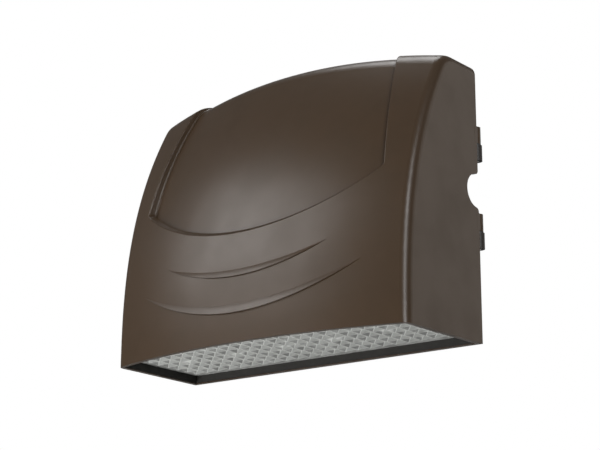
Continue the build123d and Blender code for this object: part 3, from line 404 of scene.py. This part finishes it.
# %% One finish for each slot
finishes = {
    "bronze_casting": bronze_coat,
    "black_casting": black_coat,
    "clear_lens": clear_lens,
    "foam": rubber("grey_foam", (0.05, 0.05, 0.05), 0.9),
    # Black silicone: the seal that lines the lens recess is a dark piece put where the recess lies in
    # shade, so it is painted shade; the bushings are real black silicone
    "silicone": rubber("black_silicone_and_painted_recess_shade", (0.024, 0.022, 0.019), 0.6),
    "pad": rubber("thermal_rubber", (0.45, 0.47, 0.5), 0.8),
    "stainless": metal("stainless_steel", (0.56, 0.55, 0.53), 0.3),
    "green_screw": metal("green_dyed_zinc", (0.05, 0.3, 0.11), 0.35),
    "bare_aluminium": metal("rolled_aluminium", (0.68, 0.69, 0.7), 0.38, (0.04, 1.0, 1.0)),
    "reflector_white": plastic("white_reflector", (0.86, 0.86, 0.84), 0.3),
    "white_board": plastic("white_solder_mask", (0.8, 0.82, 0.8), 0.35),
    "washer_nylon": plastic("black_nylon", (0.03, 0.03, 0.03), 0.45),
    "phosphor": plastic("led_phosphor", (0.85, 0.68, 0.18), 0.25),
    "white_plastic": plastic("white_plastic", (0.75, 0.75, 0.72), 0.4),
    "driver_case": plastic("white_enamel", (0.72, 0.72, 0.7), 0.35),
    "green_insulation": plastic("green_insulation", (0.04, 0.27, 0.08)),
    "white_insulation": plastic("white_insulation", (0.75, 0.75, 0.72)),
    "black_insulation": plastic("black_insulation", (0.025, 0.025, 0.025)),
    "red_insulation": plastic("red_insulation", (0.48, 0.04, 0.03)),
    "splice_plastic": plastic("orange_plastic", (0.75, 0.3, 0.05), 0.25),
}

slots = {row["node"]: row["material_slot"] for row in frame["record"]["subparts"]}
for name, node in nodes.items():
    node.data.materials.clear()
    node.data.materials.append(finishes[slots[name]])
print("finishes given out:", len(finishes))

# %% [markdown]
# ## Modelling by hand, in code
#
# The small pieces inside the light could be drawn as bare lists of points. Here they are made
# the way they would be at a workbench: start with a block or a round bar of the right size,
# then push faces in, pull faces out and break the sharp edges. An operator acts on whatever
# is selected, so each helper first clears the selection.

# %% Helpers for blocks and bars
def alone(piece):
    """Select one piece only and make it active."""
    bpy.ops.object.select_all(action="DESELECT")
    piece.select_set(True)
    bpy.context.view_layer.objects.active = piece
    return piece


def block(name, low, high):
    """A block between two corners, with its place in its mesh."""
    bpy.ops.object.select_all(action="DESELECT")
    bpy.ops.mesh.primitive_cube_add(size=1.0, location=(low + high) / 2, scale=high - low)
    piece = bpy.context.object
    piece.name = piece.data.name = name
    bpy.ops.object.transform_apply(location=True, rotation=True, scale=True)
    return piece


def bar(name, middle, radius, length, turn=(0.0, 0.0, 0.0), sides=40):
    """A round bar, with its place in its mesh."""
    bpy.ops.object.select_all(action="DESELECT")
    bpy.ops.mesh.primitive_cylinder_add(
        vertices=sides, radius=radius, depth=length, location=middle, rotation=turn
    )
    piece = bpy.context.object
    piece.name = piece.data.name = name
    bpy.ops.object.transform_apply(location=True, rotation=True, scale=True)
    return piece


print("blocks and bars ready")

# %% [markdown]
# ## Picking faces
#
# By hand, one would click the faces to push in. In code, a test on a face's middle and on its
# normal does the clicking, so that the choice still holds if a size changes.

# %% Helpers that work on picked faces
LOOKS_ALONG = 0.9           # a face looks along an axis if its normal has more than this of it
NEARBY = 0.1 * MM           # slack in telling where a face lies


def pick_faces(piece, test):
    """Go into edit mode with only the faces selected whose middle and normal pass the test."""
    alone(piece)
    bpy.ops.object.mode_set(mode="EDIT")
    bpy.ops.mesh.select_mode(type="FACE")
    bpy.ops.mesh.select_all(action="DESELECT")
    bpy.ops.object.mode_set(mode="OBJECT")
    for face in piece.data.polygons:
        face.select = bool(test(face.center, face.normal))
    bpy.ops.object.mode_set(mode="EDIT")


def sink(piece, test, rim, push):
    """Inset the picked faces one by one by rim, then push them along a vector."""
    pick_faces(piece, test)
    bpy.ops.mesh.inset(thickness=rim, depth=0.0, use_individual=True)
    bpy.ops.mesh.extrude_region_move(TRANSFORM_OT_translate={"value": push})
    bpy.ops.object.mode_set(mode="OBJECT")


def halve(piece, point):
    """Cut the faces of a piece in two at a plane across X, with both halves still joined."""
    alone(piece)
    bpy.ops.object.mode_set(mode="EDIT")
    bpy.ops.mesh.select_all(action="SELECT")
    bpy.ops.mesh.bisect(plane_co=point, plane_no=(1.0, 0.0, 0.0))
    bpy.ops.object.mode_set(mode="OBJECT")


def paint(piece, test, place):
    """Give the picked faces the material in one of the piece's slots."""
    for face in piece.data.polygons:
        if test(face.center, face.normal):
            face.material_index = place


print("face helpers ready")

# %% [markdown]
# ## Rounding, copying and handing over
#
# No moulded or stamped piece has a razor edge, so each is rounded a little before it is done.
# What repeats is modelled once and copied, and each copy gets a mesh of its own. A finished
# piece then takes over from the ready-made one.

# %% Helpers that finish a piece
BROKEN_EDGE_STEPS = 2
SHARP_ANGLE = radians(40)   # an edge that bends more than this is rounded
SMOOTH_ANGLE = radians(35)  # one that bends less than this is shaded smooth


def break_edges(piece, width):
    """Round every sharp edge a little."""
    alone(piece)
    rounding = piece.modifiers.new("broken_edges", "BEVEL")
    rounding.width = width
    rounding.segments = BROKEN_EDGE_STEPS
    rounding.limit_method = "ANGLE"
    rounding.angle_limit = SHARP_ANGLE
    bpy.ops.object.modifier_apply(modifier=rounding.name)
    bpy.ops.object.shade_smooth_by_angle(angle=SMOOTH_ANGLE)


def copy_along(piece, name, offsets):
    """One copy of the piece for each offset, each with its own mesh; the piece itself goes."""
    copies = []
    for number, offset in enumerate(offsets):
        twin = piece.copy()
        twin.data = piece.data.copy()
        twin.name = twin.data.name = f"{name}_{number + 1}"
        bpy.context.scene.collection.objects.link(twin)
        twin.location = offset
        alone(twin)
        bpy.ops.object.transform_apply(location=True, rotation=True, scale=True)
        copies.append(twin)
    bpy.data.objects.remove(piece)
    return copies


def hand_over(pieces, node):
    """Let new pieces stand for a ready-made one that swings with the front."""
    for piece in pieces:
        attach(piece, "front_door")
        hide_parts(node)
    print(node, "is now", len(pieces), "detailed pieces of", len(pieces[0].data.polygons), "faces")


print("modelling helpers ready")

# %% [markdown]
# ## The LED packages
#
# Each of the five light sources is a square ceramic tile that is soldered to the board, with
# a round pool of yellow phosphor under clear silicone on it. The silicone is poured, so it
# crowns a little in the middle. The ready-made ones are plain squares. A tile is a block with
# broken edges; its pool is a short bar whose free end is inset twice and pushed out, which
# gives the crown.

# %% Model the LED packages
TILE_SHARE = 0.5            # of the package's thickness
POOL_SHARE = 0.41           # pool radius, of the tile's side
POOL_DEPTH_SHARE = 0.7      # of what the tile leaves of the thickness
TILE_EDGE = 0.25 * MM
POOL_EDGE = 0.12 * MM
CROWN_STEPS = ((1.2 * MM, 0.09 * MM), (1.6 * MM, 0.06 * MM))    # rim and drop of each inset
tile_foot = led_high.z - (led_high.z - led_low.z) * TILE_SHARE
tile = block(
    "led_package",
    Vector((-led_side / 2, led_low.y, tile_foot)),
    Vector((led_side / 2, led_high.y, led_high.z)),
)
break_edges(tile, TILE_EDGE)
pool_depth = (tile_foot - led_low.z) * POOL_DEPTH_SHARE
pool_middle = (0.0, led_middle.y, tile_foot - pool_depth / 2)
pool = bar("led_pool", pool_middle, led_side * POOL_SHARE, pool_depth)


def free_end(middle, normal):
    """The face of the pool that looks down at the lens."""
    return normal.z < -LOOKS_ALONG and middle.z < tile_foot - pool_depth / 2


for rim, drop in CROWN_STEPS:
    pick_faces(pool, free_end)
    bpy.ops.mesh.inset(thickness=rim, depth=0.0)
    bpy.ops.transform.translate(value=(0.0, 0.0, -drop))
    bpy.ops.object.mode_set(mode="OBJECT")
break_edges(pool, POOL_EDGE)
tile.data.materials.append(plastic("white_ceramic", (0.82, 0.82, 0.8), 0.3))
pool.data.materials.append(finishes["phosphor"])
alone(tile)
pool.select_set(True)
bpy.ops.object.join()
first_led = led_low.x + led_side / 2
led_offsets = [(first_led + k * led_step, 0.0, 0.0) for k in range(LED_PLACES)]
packages = copy_along(tile, "led_package", led_offsets)
hand_over(packages, "leds")

# %% [markdown]
# ## The splice connectors
#
# The three supply leads are joined to the building's wires with lever connectors: a grey
# body, open ports for the wires at the wall end, and an orange lever on the side. The
# ready-made ones are plain blocks. Each is a block whose wall end is cut in two with a
# bisect, so that each half can be sunk into a port, and whose side face is pulled out into
# the lever.

# %% Model the splice connectors
SUPPLY_LEADS = ("ground_lead", "neutral_lead", "line_lead")
PORT_RIM = 1.1 * MM
PORT_DEPTH = 4.0 * MM
LEVER_RIM = 0.7 * MM
LEVER_OUT = 0.8 * MM
LEVER_FOOT = 0.05 * MM      # the orange starts this far out from the body
CONNECTOR_EDGE = 0.3 * MM
splice_low, splice_high = (Vector(corner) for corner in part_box("splices"))
lead_boxes = [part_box(name) for name in SUPPLY_LEADS]
splice_middles = [(low[2] + high[2]) / 2 for low, high in lead_boxes]
splice_pitch = abs(splice_middles[1] - splice_middles[0])
splice_rise = splice_high.z - splice_low.z - (len(SUPPLY_LEADS) - 1) * splice_pitch
body_side = splice_low.x + LEVER_OUT
connector = block(
    "splice_connector",
    Vector((body_side, splice_low.y, -splice_rise / 2)),
    Vector((splice_high.x, splice_high.y, splice_rise / 2)),
)
halve(connector, (splice_low + splice_high) / 2)


def wall_end(middle, normal):
    """The faces that look into the wall."""
    return normal.y > LOOKS_ALONG


def lever_side(middle, normal):
    """The outer side face, not the walls of the ports."""
    return normal.x < -LOOKS_ALONG and middle.x < body_side + NEARBY


sink(connector, wall_end, PORT_RIM, (0.0, -PORT_DEPTH, 0.0))
sink(connector, lever_side, LEVER_RIM, (-LEVER_OUT, 0.0, 0.0))
break_edges(connector, CONNECTOR_EDGE)
connector.data.materials.append(plastic("grey_connector_plastic", (0.5, 0.52, 0.53), 0.2))
connector.data.materials.append(finishes["splice_plastic"])
paint(connector, lambda middle, normal: middle.x < body_side - LEVER_FOOT, 1)
connectors = copy_along(connector, "splice_connector", [(0.0, 0.0, z) for z in splice_middles])
hand_over(connectors, "splices")

# %% [markdown]
# ## The board's terminal
#
# A small white push-in terminal joins the driver's two leads to the LED board. It has a
# funnel for each lead at one end and a release slot for each below. The block is bisected
# down the middle and each half gets its funnel and its slot.

# %% Model the terminal
FUNNEL_RIM = 0.5 * MM
FUNNEL_DEPTH = 1.5 * MM
SLOT_RIM = 1.3 * MM
SLOT_DEPTH = 0.6 * MM
TERMINAL_EDGE = 0.2 * MM
terminal_low, terminal_high = (Vector(corner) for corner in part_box("led_terminal"))
terminal = block("led_terminal_block", terminal_low, terminal_high)
halve(terminal, (terminal_low + terminal_high) / 2)


def underside(middle, normal):
    """The lowest faces, not the walls of the funnels."""
    return normal.z < -LOOKS_ALONG and middle.z < terminal_low.z + NEARBY


sink(terminal, wall_end, FUNNEL_RIM, (0.0, -FUNNEL_DEPTH, 0.0))
sink(terminal, underside, SLOT_RIM, (0.0, 0.0, SLOT_DEPTH))
break_edges(terminal, TERMINAL_EDGE)
terminal.data.materials.append(finishes["white_plastic"])
hand_over([terminal], "led_terminal")

# %% [markdown]
# ## The driver's lead bushings
#
# Where leads leave a driver's steel can, soft collars keep the sheet from cutting them. Each
# collar is a short bar around the lead, stepped at its free end: the end face is inset and
# pushed out, and the step is rounded.

# %% Model the bushings
LED_LEADS = ("led_lead_negative", "led_lead_positive")
SUPPLY_LEAD_RADIUS = 1.2 * MM
LED_LEAD_RADIUS = 0.9 * MM
SUPPLY_COLLAR_RADIUS = 2.2 * MM
LED_COLLAR_RADIUS = 1.55 * MM
EAR = 9.0 * MM              # the can's fixing ears stand out this far past its ends
COLLAR_THICKNESS = 1.2 * MM
STEP_RIM_SHARE = 0.22       # of the collar's radius
STEP_OUT = 1.0 * MM
COLLAR_EDGE = 0.15 * MM
ALONG_X = (0.0, radians(90), 0.0)
driver_low, driver_high = (Vector(corner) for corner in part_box("driver"))


def bushing(lead, end, direction, depth, lead_radius, radius):
    """A stepped collar on an end of the can, whose lead leaves it at a depth along Y."""
    lead_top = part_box(lead)[1][2]
    middle = (end + direction * COLLAR_THICKNESS / 2, depth, lead_top - lead_radius)
    collar = bar(lead + "_bushing", middle, radius, COLLAR_THICKNESS, ALONG_X, sides=32)
    pick_faces(collar, lambda place, normal: normal.x * direction > LOOKS_ALONG)
    bpy.ops.mesh.inset(thickness=radius * STEP_RIM_SHARE, depth=0.0)
    bpy.ops.mesh.extrude_region_move(TRANSFORM_OT_translate={"value": (direction * STEP_OUT, 0.0, 0.0)})
    bpy.ops.object.mode_set(mode="OBJECT")
    break_edges(collar, COLLAR_EDGE)
    collar.data.materials.append(finishes["silicone"])
    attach(collar, "front_door")


left_end = driver_low.x + EAR
right_end = driver_high.x - EAR
can_depth = (driver_low.y + driver_high.y) / 2
for lead in SUPPLY_LEADS:
    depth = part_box(lead)[0][1] + SUPPLY_LEAD_RADIUS
    bushing(lead, left_end, -1, depth, SUPPLY_LEAD_RADIUS, SUPPLY_COLLAR_RADIUS)
for lead in LED_LEADS:
    bushing(lead, right_end, 1, can_depth, LED_LEAD_RADIUS, LED_COLLAR_RADIUS)
print("bushings:", len(SUPPLY_LEADS) + len(LED_LEADS))

# %% [markdown]
# ## The studio
#
# A product portrait of a dark, satin thing is lit with large soft sources: the surface shows
# their mirror image more than its own colour. A big soft source stands at the left and in
# front, a metre above the light, and gives the broad sheen on the front. One overhead lights
# the rolled top edge, a large warm one behind at the right opens up the hinge side, a tall
# one at the right draws the bright line down the rounded corner, and a weak one below shows
# the lens.

# %% Lamps
WHITE = (1.0, 1.0, 1.0)
WARM = (1.0, 0.93, 0.86)


def soft_box(name, place, aim, width, height, power, colour=WHITE):
    """A rectangular lamp that faces a point."""
    data = bpy.data.lights.new(name, "AREA")
    data.shape = "RECTANGLE"
    data.size = width
    data.size_y = height
    data.energy = power
    data.color = colour
    lamp = bpy.data.objects.new(name, data)
    lamp.location = place
    lamp.rotation_euler = (Vector(aim) - Vector(place)).to_track_quat("-Z", "Y").to_euler()
    bpy.context.scene.collection.objects.link(lamp)


soft_box(
    "key_box", place=(-1.25, -1.64, 1.02), aim=(0.0, -0.1, 0.0), width=1.6, height=1.0, power=19.0
)
soft_box(
    "roof_box", place=(-0.35, 0.35, 1.8), aim=(0.05, -0.05, 0.1), width=0.8, height=0.8, power=8.0
)
soft_box(
    "side_box", place=(2.0, 1.9, 0.9), aim=(0.14, -0.07, 0.0), width=2.2, height=2.0, power=10.0,
    colour=WARM,
)
soft_box(
    "corner_box", place=(1.7, -1.3, 0.55), aim=(0.1, -0.1, 0.0), width=0.7, height=1.8, power=25.0
)
soft_box(
    "under_box", place=(-0.4, -0.9, -0.7), aim=(0.0, -0.07, -0.12), width=0.7, height=0.5, power=8.0
)

# %% [markdown]
# ## The air around it
#
# The picture wants a white background, but a white room would wash the dark coat out. So the
# world asks what kind of ray looks at it. The camera finds white, also through the lens. A
# mirror image finds a share of it, and light that only bounces around finds dim air.

# %% World
AIR_LEVEL = 0.05
MIRRORED_SHARE = 0.08       # how bright the background is in mirror images


def seen_share(recipe):
    """1 where the camera looks, also through glass, and less in mirror images."""
    to_eye = recipe.add("ShaderNodeLightPath", output="Is Camera Ray")
    mirrored = recipe.add("ShaderNodeLightPath", output="Is Glossy Ray")
    through = recipe.add("ShaderNodeLightPath", output="Is Transmission Ray")
    return to_eye + through + mirrored * MIRRORED_SHARE


world = bpy.data.worlds.new("studio_air")
world.use_nodes = True
bpy.context.scene.world = world
air = Recipe(world.node_tree)
sky = world.node_tree.nodes["Background"]
air.feed(sky.inputs["Color"], WHITE)
air.feed(sky.inputs["Strength"], AIR_LEVEL + seen_share(air) * (1.0 - AIR_LEVEL))
bpy.context.scene.view_settings.view_transform = "Standard"
print("air level:", AIR_LEVEL)

# %% [markdown]
# ## Floor and backdrop
#
# A large sheet of white paper lies far below the light and a smaller one stands behind it.
# Lamps alone would leave them grey, so each also shines by a share, which follows the same
# kinds of ray as the air does.

# %% Paper below and behind
def paper(name, glow):
    """White paper that also shines, by a share, where it is seen."""
    finish = Finish(name)
    finish.put(Base_Color=(0.82, 0.82, 0.82), Roughness=0.9)
    shine = finish.add("ShaderNodeEmission", None, {"Color": WHITE, "Strength": 1.0})
    paper_itself = Value(finish, finish.shader.outputs["BSDF"])
    share = seen_share(finish) * glow
    mixed = finish.add("ShaderNodeMixShader", None, {0: share, 1: paper_itself, 2: shine})
    finish.tree.links.new(mixed.socket, finish.tree.nodes["Material Output"].inputs["Surface"])
    return finish.material


def sheet_of_paper(name, place, size, turn, glow):
    """A flat sheet with a paper finish of its own."""
    bpy.ops.object.select_all(action="DESELECT")
    bpy.ops.mesh.primitive_plane_add(size=size, location=place, rotation=turn)
    plane = bpy.context.object
    plane.name = name
    plane.data.materials.append(paper(name + "_paper", glow))


FLOOR_PLACE = (0.0, 0.0, -2.6)
FLOOR_SIZE = 40.0
FLOOR_TURN = (0.0, 0.0, 0.0)
FLOOR_GLOW = 0.85           # less than 1, so that it still takes a shadow
BACKDROP_PLACE = (-1.5, 3.2, 1.4)
BACKDROP_SIZE = 6.0
BACKDROP_TURN = (radians(90), 0.0, radians(20))
BACKDROP_GLOW = 1.0
sheet_of_paper("floor", FLOOR_PLACE, FLOOR_SIZE, FLOOR_TURN, FLOOR_GLOW)
sheet_of_paper("backdrop", BACKDROP_PLACE, BACKDROP_SIZE, BACKDROP_TURN, BACKDROP_GLOW)
print("stage set")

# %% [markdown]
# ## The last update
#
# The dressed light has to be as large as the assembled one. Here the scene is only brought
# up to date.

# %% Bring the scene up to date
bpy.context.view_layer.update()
